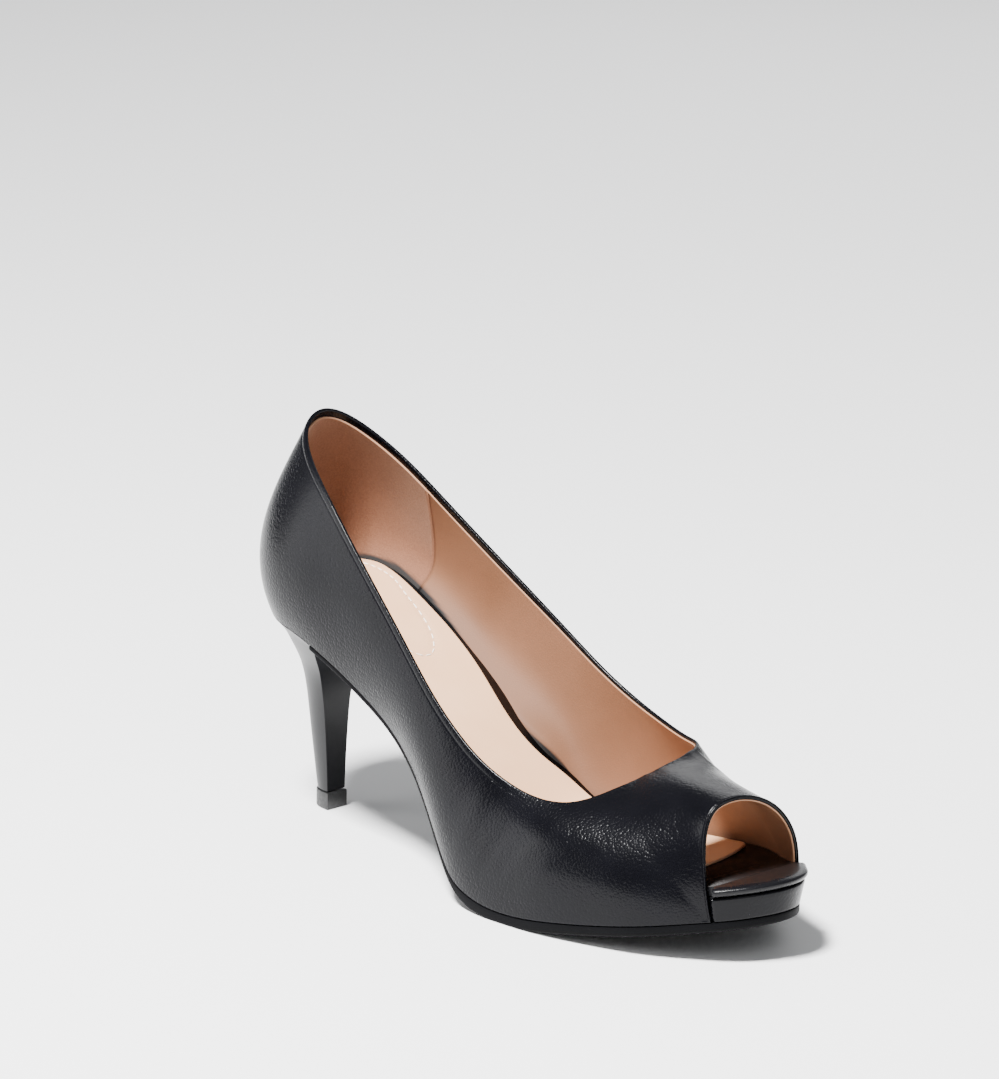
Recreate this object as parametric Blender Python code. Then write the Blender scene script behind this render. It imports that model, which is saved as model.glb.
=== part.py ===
"""Peep toe pump, right shoe: hollow upper, platform, footbed, sock, outsole, heel and heel tip.

X runs from heel to toe, +Y is the inner (medial) side of the foot, Z is up and the floor is Z = 0.
Sizes below are millimetres; the meshes are built in metres.
"""
import math

import bmesh
import bpy
import numpy as np

MM = 0.001

# Driving sizes
WALL = 1.7
GAP = 0.3
WALL_CLEARANCE = 0.65
FOOTBED_THICK = 3.0
FOOTBED_LIP = 0.9
SOCK_THICK = 0.9
SOCK_INSET = 2.8
SOLE_EDGE_ROUND = 0.7
HEEL_TIP_HEIGHT = 6.0

# Binding: a folded edge along the topline and the peep, as a step in the wall
BINDING_WIDTH = 2.4
BINDING_STEP = 0.35
RIM_ROUND = 0.55

# Line inside the foot that the columns of the upper swell away from: x, z
CORE_LINE = ((34.0, 10.0), (150.0, 10.0), (186.0, 26.0))

# Rounding of the two corners of the foot line, along the run of columns
SOFT_WINDOW = 9.0
SOFT_REACH = 22.0
SOFT_SAMPLES = 41

# Mesh density
SEAT_COLUMNS = 84
PEEP_COLUMNS = 26
PLAN_STATIONS = 72
TOE_POINTS = 40
HEEL_POINTS = 25
WALL_STEPS = (0.0, 0.1, 0.2, 0.32, 0.45, 0.58, 0.7, 0.82, 0.92, 1.0)
SLOPE_STEP = 0.01
DENSE_POINTS = 600
LOW_WALL_SHARE = 0.6
LOW_WALL_STEPS = 40
MERGE_DISTANCE = 0.00001

# Underside of the upper (top of the outsole): x, z along the shoe
SEAT_LINE = (
    (-8, 69.5), (13, 68.8), (24, 67.9), (32, 66.2), (41, 63.2), (50, 59.3), (59, 54.6), (69, 49.0),
    (79, 42.2), (88, 34.6), (97, 25.4), (105, 16.2), (112, 9.3), (120, 5.6), (130, 3.7), (144, 3.5),
    (158, 5.0), (172, 7.0), (189, 9.9), (205, 12.9), (226, 16.6),
)

# Underside of the outsole: x, z. It touches the floor where z is not above 0.
SOLE_LINE = (
    (33, 64.2), (41, 61.4), (50, 57.5), (59, 52.8), (69, 47.2), (79, 40.3), (88, 32.6), (97, 23.1),
    (105, 13.6), (112, 6.3), (120, 2.0), (130, 0.1), (136, -0.1), (143, -0.1), (150, 0.4), (158, 1.5),
    (172, 3.7), (189, 6.7), (205, 9.8), (226, 13.8),
)

# Thickness of what lies between the outsole and the footbed: x, thickness
PLATFORM_THICK = (
    (-8, 7.0), (12, 6.9), (32, 6.0), (52, 4.4), (75, 3.3), (95, 4.8), (113, 7.6), (130, 8.5), (170, 8.3),
    (226, 8.2),
)

# Sections of the upper from heel to toe. Each runs from the seat line up to the topline.
# foot_x, foot_y, top_x, top_y, top_z, low and high: how far the lower and upper part swell
BACK_SECTION = (-2.0, 0.0, 8.2, 0.0, 135.0, 16.5, 6.5)
OUTER_SECTIONS = (
    (1.6, -13.5, 10.5, -8.5, 132.6, 16.0, 6.5),
    (11.5, -23.4, 17.5, -15.5, 127.7, 13.5, 6.0),
    (25.0, -27.8, 28.5, -21.5, 121.6, 9.0, 5.0),
    (40.0, -29.3, 41.0, -25.8, 113.4, 5.5, 3.0),
    (58.7, -29.0, 58.5, -28.8, 98.4, 4.5, 3.0),
    (78.7, -30.0, 79.1, -31.0, 79.4, 4.0, 3.0),
    (92.0, -33.2, 95.0, -32.6, 64.8, 4.0, 3.0),
    (104.5, -37.3, 108.0, -33.2, 54.6, 4.0, 3.0),
    (115.5, -40.3, 119.5, -32.9, 47.4, 4.0, 3.0),
    (128.0, -41.7, 131.0, -31.2, 42.3, 4.5, 3.5),
    (143.0, -41.4, 141.9, -29.4, 40.1, 5.0, 4.5),
    (158.0, -39.8, 150.6, -26.0, 40.2, 6.0, 6.0),
    (173.0, -36.6, 156.0, -20.4, 41.9, 8.0, 8.0),
    (190.0, -31.0, 159.6, -14.2, 44.3, 12.5, 11.0),
)
INNER_SECTIONS = (
    (1.6, 13.5, 10.2, 8.8, 132.4, 16.0, 6.5),
    (11.5, 23.2, 16.8, 15.8, 126.2, 13.5, 6.0),
    (25.0, 26.8, 27.5, 20.3, 118.2, 8.5, 4.5),
    (40.0, 25.2, 41.0, 23.6, 108.0, 6.0, 3.5),
    (58.8, 22.2, 58.5, 26.9, 95.2, 6.0, 3.5),
    (80.5, 19.8, 81.0, 30.4, 79.6, 6.0, 3.5),
    (94.0, 20.8, 95.0, 32.2, 70.1, 6.0, 4.0),
    (108.0, 24.4, 109.5, 33.3, 61.3, 5.5, 4.0),
    (122.0, 29.7, 122.5, 33.6, 55.4, 5.5, 5.0),
    (140.0, 35.2, 136.0, 32.3, 51.7, 5.5, 5.5),
    (157.0, 37.4, 149.0, 29.0, 50.4, 5.5, 5.0),
    (173.0, 36.4, 157.8, 24.6, 50.9, 6.5, 5.0),
    (190.0, 31.0, 161.6, 19.4, 51.0, 10.0, 5.5),
)

# Edge of the peep toe from the outer foot over the arch to the inner foot.
# edge_x, edge_y, edge_z, then the place on the throat and the swell as above
PEEP_SECTIONS = (
    (208.0, -20.0, None, 161.3, -8.8, 45.8, 15.5, 12.5),
    (206.8, -20.6, 21.0, 161.6, -6.8, 46.2, 14.0, 12.0),
    (204.6, -19.8, 31.0, 161.9, -4.9, 46.7, 11.0, 10.5),
    (202.6, -18.0, 40.0, 162.2, -2.9, 47.2, 7.5, 7.0),
    (202.0, -14.4, 46.6, 162.4, -0.9, 47.5, 4.5, 4.0),
    (202.9, -8.5, 49.6, 162.6, 1.5, 48.1, 2.0, 2.5),
    (204.4, -2.0, 49.9, 162.5, 4.4, 48.6, 1.0, 2.0),
    (206.0, 4.5, 48.0, 162.9, 7.0, 49.3, 1.5, 2.5),
    (207.3, 10.8, 43.6, 163.2, 9.6, 49.9, 3.0, 2.5),
    (208.2, 16.0, 36.4, 163.2, 12.0, 50.4, 5.0, 3.5),
    (208.0, 18.9, 28.0, 162.9, 14.2, 50.8, 8.5, 4.5),
    (207.8, 19.5, 19.0, 162.5, 16.0, 51.0, 11.0, 5.5),
    (207.6, 19.2, None, 162.1, 17.6, 51.0, 12.0, 5.8),
)

# Plan outline of the toe in front of the peep, at the outsole: x, y
TOE_OUTLINE = ((208.0, -20.0), (213.0, -15.4), (217.6, -8.2), (219.9, -0.5), (219.2, 5.6), (216.4, 10.8),
               (212.0, 15.2), (207.6, 19.2))
TOE_OVERHANG = 2.3

# Where the platform and the footbed step out in front of the feet of the peep: x before and after
PLATFORM_STEP = (208.6, 209.6)
FOOTBED_STEP = (208.6, 209.6)
WALL_END_X = 194.0
FOOT_WIDE_X = 199.0
FOOT_WIDE = 19.0
FOOT_NARROW = 15.4

# Rounded edge of the footbed: share of its thickness, reach beyond the toe outline
FOOTBED_EDGE = ((0.0, 1.5), (0.28, 2.3), (0.66, 2.3), (1.0, 1.3))

# Front edge of the sock, which runs back towards the inner side: x, y
SOCK_FRONT = ((182.5, 60.0), (184.0, 25.0), (185.4, 20.0), (187.6, 15.0), (191.0, 8.0), (196.0, -3.5),
              (201.0, -16.5), (202.0, -60.0))

# Heel below the seat: z, back_x, breast_x, half_width
HEEL_LEVELS = (
    (6.3, 8.6, 16.6, 3.9),
    (14.0, 7.2, 16.6, 4.2),
    (24.0, 5.6, 16.6, 4.8),
    (34.0, 4.2, 16.6, 5.6),
    (43.0, 3.1, 17.0, 7.2),
    (50.0, 2.2, 19.0, 10.4),
    (56.0, 1.4, 22.6, 15.4),
    (61.5, 0.4, 27.4, 20.8),
)
HEEL_TOP_X = 34.0
HEEL_SEAT_INSET = 0.2
TIP_BACK_X = 8.2
TIP_BREAST_X = 17.2
TIP_HALF_WIDTH = 4.3

# Colours from the photo: red, green, blue, then roughness
BLACK_LEATHER = (0.018, 0.018, 0.020, 0.38)
TAN_LINING = (0.62, 0.45, 0.36, 0.6)
SOLE_RUBBER = (0.022, 0.022, 0.025, 0.62)
HEEL_COVER = (0.020, 0.020, 0.022, 0.34)
TIP_RUBBER = (0.012, 0.012, 0.013, 0.7)


def clear_scene():
    for item in list(bpy.data.objects):
        bpy.data.objects.remove(item, do_unlink=True)


def material(name, colour):
    made = bpy.data.materials.new(name)
    made.use_nodes = True
    shader = made.node_tree.nodes["Principled BSDF"]
    shader.inputs["Base Color"].default_value = (*colour[:3], 1.0)
    shader.inputs["Roughness"].default_value = colour[3]
    shader.inputs["Metallic"].default_value = 0.0
    return made


def spline(knots, rows, at, closed=False):
    """Cubic spline with continuous curvature through rows, natural or closed at its ends."""
    knots = np.asarray(knots, float)
    rows = np.asarray(rows, float)
    flat = rows.ndim == 1
    if flat:
        rows = rows[:, None]
    count = len(knots)
    step = np.diff(knots)
    matrix = np.zeros((count, count))
    right = np.zeros((count, rows.shape[1]))
    slope = np.diff(rows, axis=0) / step[:, None]
    for i in range(1, count - 1):
        matrix[i, i - 1:i + 2] = step[i - 1], 2 * (step[i - 1] + step[i]), step[i]
        right[i] = 6 * (slope[i] - slope[i - 1])
    matrix[0, 0] = matrix[-1, -1] = 1
    if closed:
        matrix[0, :2] = 2 * (step[0] + step[-1]), step[0]
        matrix[0, -2] = step[-1]
        right[0] = 6 * (slope[0] - slope[-1])
        matrix[-1, 0] = -1
    bend = np.linalg.solve(matrix, right)
    at = np.asarray(at, float)
    i = np.clip(np.searchsorted(knots, at) - 1, 0, count - 2)
    a = ((knots[i + 1] - at) / step[i])[..., None]
    b = 1 - a
    width = (step[i] ** 2)[..., None]
    value = a * rows[i] + b * rows[i + 1] + ((a**3 - a) * bend[i] + (b**3 - b) * bend[i + 1]) * width / 6
    return value[..., 0] if flat else value


def seat_z(x):
    return spline([row[0] for row in SEAT_LINE], [row[1] for row in SEAT_LINE], x)


def sole_z(x):
    """Underside of the outsole, levelled where it stands on the floor."""
    return np.maximum(0.0, spline([row[0] for row in SOLE_LINE], [row[1] for row in SOLE_LINE], x))


def platform_thick(x):
    return spline([row[0] for row in PLATFORM_THICK], [row[1] for row in PLATFORM_THICK], x)


def chord_knots(points):
    return np.concatenate([[0.0], np.cumsum(np.linalg.norm(np.diff(points, axis=0), axis=1))])


def unit(vectors):
    return vectors / np.maximum(np.linalg.norm(vectors, axis=-1, keepdims=True), 1e-9)


def upper_columns():
    """Foot, top and swell of every column around the upper, and how many lie on the seat line."""
    seat_rows = [(x, y, float(seat_z(x)), *rest) for x, y, *rest in
                 (*reversed(INNER_SECTIONS), BACK_SECTION, *OUTER_SECTIONS)]
    peep_rows = [(x, y, float(seat_z(x)) if z is None else z, *rest) for x, y, z, *rest in PEEP_SECTIONS]
    ring = np.array([peep_rows[-1], *seat_rows, *peep_rows])
    corner = len(seat_rows) + 1
    middle = (ring[:, :3] + 2 * ring[:, 3:6]) / 3
    knots = chord_knots(middle)
    seat_at = even_columns(ring[:corner + 1, :3], knots[:corner + 1], SEAT_COLUMNS)
    peep_at = even_columns(ring[corner:, :3], knots[corner:], PEEP_COLUMNS)
    foot = np.vstack([spline(knots[:corner + 1], ring[:corner + 1, :3], seat_at),
                      spline(knots[corner:], ring[corner:, :3], peep_at[1:-1])])
    foot[:len(seat_at), 2] = seat_z(foot[:len(seat_at), 0])
    at = np.concatenate([seat_at, peep_at[1:-1]])
    rest = spline(knots, ring[:, 3:], at, closed=True)
    soft = soften_corners(foot, at, (knots[0], knots[corner], knots[-1]))
    return foot, rest[:, :3], rest[:, 3], rest[:, 4], len(seat_at), soft


def soften_corners(foot, at, corners):
    """The foot line with its corners rounded off, for the swell of the columns near them."""
    length = corners[-1] - corners[0]
    known = np.concatenate([at - length, at, at + length])
    line = np.tile(foot, (3, 1))
    offsets = np.linspace(-1, 1, SOFT_SAMPLES)
    weights = 1 - np.abs(offsets)
    mean = np.zeros_like(foot)
    for offset, weight in zip(offsets * SOFT_WINDOW, weights / weights.sum()):
        mean += weight * np.stack([np.interp(at + offset, known, line[:, axis]) for axis in range(3)], 1)
    near = np.min([np.abs(at - corner) for corner in corners], axis=0)
    share = np.cos(np.clip(near / SOFT_REACH, 0, 1) * math.pi / 2) ** 2
    return foot + (mean - foot) * share[:, None]


def even_columns(points, knots, count):
    """Knot values that space the columns evenly along a dense run through the points."""
    dense = np.linspace(knots[0], knots[-1], DENSE_POINTS)
    run = chord_knots(spline(knots, points, dense))
    return np.interp(np.linspace(0, run[-1], count), run, dense)


def column_points(columns, steps):
    """One point of the outer face on each column, each at its own share of the way up."""
    foot, top, low, high = columns[:4]
    soft = columns[5]
    chord = top - soft
    middle = (top + soft) / 2
    core_x, core_z = np.transpose(CORE_LINE)
    core = np.zeros_like(middle)
    core[:, 0] = np.clip(middle[:, 0], core_x[0], core_x[-1])
    core[:, 2] = np.interp(middle[:, 0], core_x, core_z)
    along = unit(chord)
    out = middle - core
    out = unit(out - along * np.sum(out * along, axis=1)[:, None])
    first = soft + chord / 3 + out * low[:, None]
    second = soft + chord * 2 / 3 + out * high[:, None]
    t = np.broadcast_to(steps, len(foot))[:, None]
    return (1 - t)**3 * foot + 3 * (1 - t)**2 * t * first + 3 * (1 - t) * t * t * second + t**3 * top


def wall_ring(columns, steps, depth):
    """A ring of the wall at a depth below its outer face."""
    seat_count = columns[4]
    here = column_points(columns, steps)
    below = column_points(columns, np.clip(np.subtract(steps, SLOPE_STEP), 0, 1))
    above = column_points(columns, np.clip(np.add(steps, SLOPE_STEP), 0, 1))
    around = np.roll(here, -1, axis=0) - np.roll(here, 1, axis=0)
    around[0] = here[1] - here[0]
    around[seat_count - 1] = here[seat_count - 1] - here[seat_count - 2]
    return here - unit(np.cross(around, above - below)) * depth


def upper_rings(columns):
    """Rings of the closed wall: up the outer face, over the rim and down the inner face."""
    foot, top, seat_count = columns[0], columns[1], columns[4]
    length = np.linalg.norm(top - foot, axis=1)
    edge = 1 - BINDING_WIDTH / length
    shoulder = 1 - RIM_ROUND / length
    rings = [wall_ring(columns, t * edge, 0.0) for t in WALL_STEPS]
    rings.append(wall_ring(columns, edge + BINDING_STEP / length, -BINDING_STEP))
    rings.append(wall_ring(columns, shoulder, -BINDING_STEP))
    rings.append(wall_ring(columns, 1.0, RIM_ROUND / 2))
    rings.append(wall_ring(columns, 1.0, WALL - RIM_ROUND / 2))
    rings.append(wall_ring(columns, shoulder, WALL))
    rings += [wall_ring(columns, t * edge, WALL) for t in reversed(WALL_STEPS)]
    for ring in (rings[0], rings[-1]):
        ring[:seat_count, 2] = foot[:seat_count, 2] + GAP / 2
    return rings


def new_object(name, mesh_data, colour):
    """A closed mesh object from points in millimetres and faces, with outward normals."""
    points, faces = mesh_data
    mesh = bpy.data.meshes.new(name)
    mesh.from_pydata([tuple(float(c) * MM for c in point) for point in points], [], faces)
    work = bmesh.new()
    work.from_mesh(mesh)
    bmesh.ops.remove_doubles(work, verts=work.verts, dist=MERGE_DISTANCE)
    bmesh.ops.recalc_face_normals(work, faces=work.faces)
    bmesh.ops.triangulate(work, faces=work.faces)
    work.to_mesh(mesh)
    work.free()
    mesh.polygons.foreach_set("use_smooth", [True] * len(mesh.polygons))
    mesh.materials.append(material(name, colour))
    made = bpy.data.objects.new(name, mesh)
    bpy.context.collection.objects.link(made)
    return made


def ring_mesh(rings, closed_section):
    """Quads between rings of equal count; a closed section joins the last ring to the first."""
    rows = len(rings)
    count = len(rings[0])
    faces = []
    for row in range(rows if closed_section else rows - 1):
        after = (row + 1) % rows
        for i in range(count):
            j = (i + 1) % count
            faces.append((row * count + i, row * count + j, after * count + j, after * count + i))
    return np.vstack(rings), faces


def build_upper(columns):
    return new_object("upper", ring_mesh(upper_rings(columns), True), BLACK_LEATHER)


def offset_run(run, inset):
    """A run of plan points moved inward; it goes from the inner side round the heel to the outer side."""
    tangent = unit(np.gradient(run, axis=0))
    inward = np.stack([-tangent[:, 1], tangent[:, 0]], 1)
    return run + inward * inset


def toe_run():
    """Plan outline of the sole in front of the peep, from the outer to the inner side."""
    outline = np.array(TOE_OUTLINE)
    knots = chord_knots(outline)
    return spline(knots, outline, np.linspace(0, knots[-1], TOE_POINTS))


def wall_run(columns, height, depth):
    """Plan line inside the wall, over the columns on the seat, at a height above the seat line."""
    shares = np.linspace(0, LOW_WALL_SHARE, LOW_WALL_STEPS)
    lines = np.array([wall_ring(columns, t, depth) for t in shares])[:, :columns[4]]
    above = lines[..., 2] - seat_z(lines[..., 0]) - height(lines[..., 0])
    return np.array([[np.interp(0.0, above[:, i], lines[:, i, axis]) for axis in (0, 1)]
                     for i in range(columns[4])])


def inside_sides(columns, height, toe_out, step):
    """Sides of a layer that lies inside the upper and steps out past the feet of the peep."""
    inside = wall_run(columns, height, WALL + WALL_CLEARANCE)
    outside = offset_run(toe_run(), -toe_out)
    inside = inside[inside[:, 0] < WALL_END_X]
    inner_end = [(step[0], FOOT_NARROW), (FOOT_WIDE_X, FOOT_WIDE)]
    outer_end = [(FOOT_WIDE_X, -FOOT_WIDE), (step[0], -FOOT_NARROW)]
    loop = np.vstack([inner_end, inside, outer_end, outside[outside[:, 0] > step[1]]])
    return sides(loop, exact=step)


def sides(loop, start=None, exact=()):
    """Stations x, closer together at the ends, with the outer and inner y of a closed plan loop.

    The station nearest to each exact value is moved onto it.
    """
    loop = np.roll(loop, -int(np.argmin(loop[:, 0])), axis=0)
    front = int(np.argmax(loop[:, 0]))
    outer = loop[:front + 1]
    inner = np.vstack([loop[front:], loop[:1]])[::-1]
    first = outer[0, 0] if start is None else start
    share = (1 - np.cos(np.linspace(0, math.pi, PLAN_STATIONS))) / 2
    x = first + (outer[-1, 0] - first) * share
    for value in exact:
        x[np.argmin(np.abs(x - value))] = value
    return x, np.interp(x, outer[:, 0], outer[:, 1]), np.interp(x, inner[:, 0], inner[:, 1])


def layer(levels):
    """A closed layer from low to high levels, each with its sides and its z at the stations."""
    points = []
    width = 2 * len(levels)
    stations = len(levels[0][0][0])
    for i in range(stations):
        points += [(x[i], outer[i], z[i]) for (x, outer, inner), z in levels]
        points += [(x[i], inner[i], z[i]) for (x, outer, inner), z in reversed(levels)]
    faces = [tuple(range(width)), tuple(reversed(range(width * (stations - 1), width * stations)))]
    for i in range(stations - 1):
        for k in range(width):
            after = (k + 1) % width
            faces.append((i * width + k, i * width + after, (i + 1) * width + after, (i + 1) * width + k))
    return points, faces


def build_outsole(columns):
    feather = np.vstack([columns[0][:columns[4], :2], toe_run()])
    low = sides(offset_run(feather, SOLE_EDGE_ROUND), HEEL_TOP_X + GAP)
    high = sides(feather, HEEL_TOP_X + GAP)
    low_z = sole_z(low[0])
    edge_z = low_z + SOLE_EDGE_ROUND
    top_z = seat_z(high[0]) - GAP / 2
    return new_object("outsole", layer([(low, low_z), (high, edge_z), (high, top_z)]), SOLE_RUBBER)


def build_platform(columns):
    low = inside_sides(columns, lambda x: GAP / 2 + 0 * x, 0.0, PLATFORM_STEP)
    high = inside_sides(columns, platform_thick, TOE_OVERHANG - FOOTBED_LIP, PLATFORM_STEP)
    low_z = seat_z(low[0]) + GAP / 2
    high_z = seat_z(high[0]) + platform_thick(high[0])
    return new_object("platform", layer([(low, low_z), (high, high_z)]), BLACK_LEATHER)


def footbed_height(x, share):
    """Height above the seat line in the footbed, from its underside at 0 to its top at 1."""
    return platform_thick(x) + GAP + FOOTBED_THICK * share


def build_footbed(columns):
    levels = []
    for share, toe_out in FOOTBED_EDGE:
        outline = inside_sides(columns, lambda x: footbed_height(x, share), toe_out, FOOTBED_STEP)
        levels.append((outline, seat_z(outline[0]) + footbed_height(outline[0], share)))
    return new_object("footbed", layer(levels), BLACK_LEATHER)


def sock_loop(columns):
    """Plan loop of the sock: inside the wall at the sides and along its own front edge."""
    inside = wall_run(columns, lambda x: footbed_height(x, 1.0), WALL + SOCK_INSET)
    front = np.array(SOCK_FRONT)
    kept = inside[inside[:, 1] < np.interp(inside[:, 0], front[:, 0], front[:, 1])]
    return np.vstack([kept, front[-2:0:-1]])


def build_sock(columns):
    outline = sides(sock_loop(columns))
    low_z = seat_z(outline[0]) + footbed_height(outline[0], 1.0) + GAP
    return new_object("sock", layer([(outline, low_z), (outline, low_z + SOCK_THICK)]), TAN_LINING)


def heel_ring(z, back, breast, half_width):
    """Level ring of the heel: a flat breast and a rounded back."""
    angle = np.linspace(-math.pi / 2, math.pi / 2, HEEL_POINTS)
    x = breast - (breast - back) * np.cos(angle)
    return np.stack([x, half_width * np.sin(angle), np.full(HEEL_POINTS, z)], 1)


def heel_seat_ring(columns):
    """Top ring of the heel, under the seat line and cut off at the breast."""
    feather = columns[0][:columns[4], :2]
    x, outer, inner = sides(offset_run(feather, HEEL_SEAT_INSET))
    dense = np.linspace(x[0], HEEL_TOP_X, DENSE_POINTS)
    run = np.vstack([np.stack([dense, np.interp(dense, x, outer)], 1)[::-1],
                     np.stack([dense, np.interp(dense, x, inner)], 1)])
    length = chord_knots(run)
    at = np.linspace(0, length[-1], HEEL_POINTS)
    plan = np.stack([np.interp(at, length, run[:, axis]) for axis in (0, 1)], 1)
    return np.column_stack([plan, seat_z(plan[:, 0]) - GAP / 2])


def capped_stack(rings):
    """Rings joined from bottom to top, closed by crosswise strips between a ring's two halves."""
    points, faces = ring_mesh(rings, False)
    count = len(rings[0])
    for base in (0, (len(rings) - 1) * count):
        for i in range((count - 1) // 2):
            strip = [base + i, base + i + 1, base + count - 2 - i, base + count - 1 - i]
            faces.append(tuple(dict.fromkeys(strip)))
    return points, faces


def build_heel(columns):
    rings = [heel_ring(*row) for row in HEEL_LEVELS]
    rings.append(heel_seat_ring(columns))
    return new_object("heel", capped_stack(rings), HEEL_COVER)


def build_heel_tip():
    rings = [heel_ring(z, TIP_BACK_X, TIP_BREAST_X, TIP_HALF_WIDTH) for z in (0.0, HEEL_TIP_HEIGHT)]
    return new_object("heel_tip", capped_stack(rings), TIP_RUBBER)


def centre_on_origin():
    """Put the middle of the shoe's bounding box over the origin, along X and Y."""
    corners = np.array([vertex.co for item in bpy.data.objects for vertex in item.data.vertices])
    middle = (corners.min(axis=0) + corners.max(axis=0)) / 2
    for item in bpy.data.objects:
        item.location = (-middle[0], -middle[1], 0.0)


def main():
    clear_scene()
    columns = upper_columns()
    build_upper(columns)
    build_footbed(columns)
    build_sock(columns)
    build_platform(columns)
    build_outsole(columns)
    build_heel(columns)
    build_heel_tip()
    centre_on_origin()


if __name__ == "__main__":
    main()
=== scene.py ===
"""Looks of the peep toe pump: the detailed upper, lining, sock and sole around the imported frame.

Sizes are millimetres, measured from the back of the heel as in the solids' source, and become metres in
the frame's own place when a mesh is made.
"""
import math
from collections import namedtuple

import bmesh
import bpy
import numpy as np
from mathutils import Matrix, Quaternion, Vector


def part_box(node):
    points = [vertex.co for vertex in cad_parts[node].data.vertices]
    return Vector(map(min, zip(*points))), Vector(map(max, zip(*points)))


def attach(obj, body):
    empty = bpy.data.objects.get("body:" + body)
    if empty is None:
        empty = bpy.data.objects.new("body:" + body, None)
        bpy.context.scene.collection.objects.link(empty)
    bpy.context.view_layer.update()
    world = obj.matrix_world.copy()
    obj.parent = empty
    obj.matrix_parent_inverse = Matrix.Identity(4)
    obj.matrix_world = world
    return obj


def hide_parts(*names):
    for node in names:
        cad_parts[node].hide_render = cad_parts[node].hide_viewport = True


MM = 0.001
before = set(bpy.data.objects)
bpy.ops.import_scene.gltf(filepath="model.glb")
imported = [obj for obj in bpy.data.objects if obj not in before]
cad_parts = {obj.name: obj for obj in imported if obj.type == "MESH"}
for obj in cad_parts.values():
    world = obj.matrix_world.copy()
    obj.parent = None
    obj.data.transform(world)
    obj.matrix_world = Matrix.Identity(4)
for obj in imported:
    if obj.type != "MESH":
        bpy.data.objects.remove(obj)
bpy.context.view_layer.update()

# Driving sizes
WALL = 1.7
GAP = 0.3
WALL_CLEARANCE = 0.22
FOOTBED_THICK = 3.0
FOOTBED_LIP = 0.9
SOCK_THICK = 0.9
SOCK_INSET = 2.8

# Line inside the foot that the columns of the upper swell away from: x, z
CORE_LINE = ((34.0, 10.0), (150.0, 10.0), (186.0, 26.0))

# Rounding of the two corners of the foot line, and evening of the vamp, along the run of columns
SOFT_WINDOW = 9.0
SOFT_REACH = 22.0
SOFT_SAMPLES = 41
VAMP_RANGE = (138.0, 156.0)
VAMP_WINDOW = 16.0
OUTER_CORNER_NORMAL = (0.52, -0.854, 0.0)
INNER_CORNER_NORMAL = (0.52, 0.854, 0.0)
CORNER_REACH = 14.0
CORNER_FADE = 6

# Mesh density, and small steps: SLOPE_STEP along a column, TIP_CUT inside the tips of a plan loop
SEAT_COLUMNS = 380
PEEP_COLUMNS = 150
PLAN_STATIONS = 260
TOE_POINTS = 160
HEEL_POINTS = 81
SLOPE_STEP = 0.01
TIP_CUT = 0.004
DENSE_POINTS = 3000
LOW_WALL_SHARE = 0.6
LOW_WALL_STEPS = 60

# Underside of the upper (top of the outsole): x, z along the shoe
SEAT_LINE = (
    (-8, 69.5), (13, 68.8), (24, 67.9), (32, 66.2), (41, 63.2), (50, 59.3), (59, 54.6), (69, 49.0),
    (79, 42.2), (88, 34.6), (97, 25.4), (105, 16.2), (112, 9.3), (120, 5.6), (130, 3.7), (144, 3.5),
    (158, 5.0), (172, 7.0), (189, 9.9), (205, 12.9), (226, 16.6),
)

# Underside of the outsole: x, z. It touches the floor where z is not above 0.
SOLE_LINE = (
    (33, 64.2), (41, 61.4), (50, 57.5), (59, 52.8), (69, 47.2), (79, 40.3), (88, 32.6), (97, 23.1),
    (105, 13.6), (112, 6.3), (120, 2.0), (130, 0.1), (136, -0.1), (143, -0.1), (150, 0.4), (158, 1.5),
    (172, 3.7), (189, 6.7), (205, 9.8), (226, 13.8),
)

# Thickness of what lies between the outsole and the footbed: x, thickness
PLATFORM_THICK = (
    (-8, 7.0), (12, 6.9), (32, 6.0), (52, 4.4), (75, 3.3), (95, 4.8), (113, 7.6), (130, 8.5), (170, 8.3),
    (226, 8.2),
)

# Sections of the upper from heel to toe. Each runs from the seat line up to the topline.
# foot_x, foot_y, top_x, top_y, top_z, low and high: how far the lower and upper part swell
BACK_SECTION = (-2, 0, 8.2, 0, 135, 16.5, 6.5)
OUTER_SECTIONS = (
    (1.6, -13.5, 10.5, -8.5, 132.6, 16, 6.5),
    (11.5, -23.4, 17.5, -15.5, 127.7, 13.5, 6),
    (25, -27.8, 28.5, -21.5, 121.6, 9, 5),
    (40, -29.3, 41, -25.8, 113.4, 5.5, 3),
    (58.7, -29, 58.5, -28.8, 98.4, 4.5, 3),
    (78.7, -30, 79.1, -31, 79.4, 4, 3),
    (92, -33.2, 95, -32.6, 64.8, 4, 3),
    (104.5, -37.3, 108, -33.2, 54.6, 4, 3),
    (115.5, -40.3, 119.5, -32.9, 47.4, 4, 3),
    (128, -41.7, 131, -31.2, 42.3, 4.5, 5),
    (143, -41.4, 141.9, -29.4, 40.1, 5, 8),
    (158, -39.8, 150.6, -26, 40.2, 6, 12),
    (173, -36.6, 156, -20.4, 41.9, 8, 14),
    (190, -31, 159.6, -14.2, 44.3, 12.5, 14),
)
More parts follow.
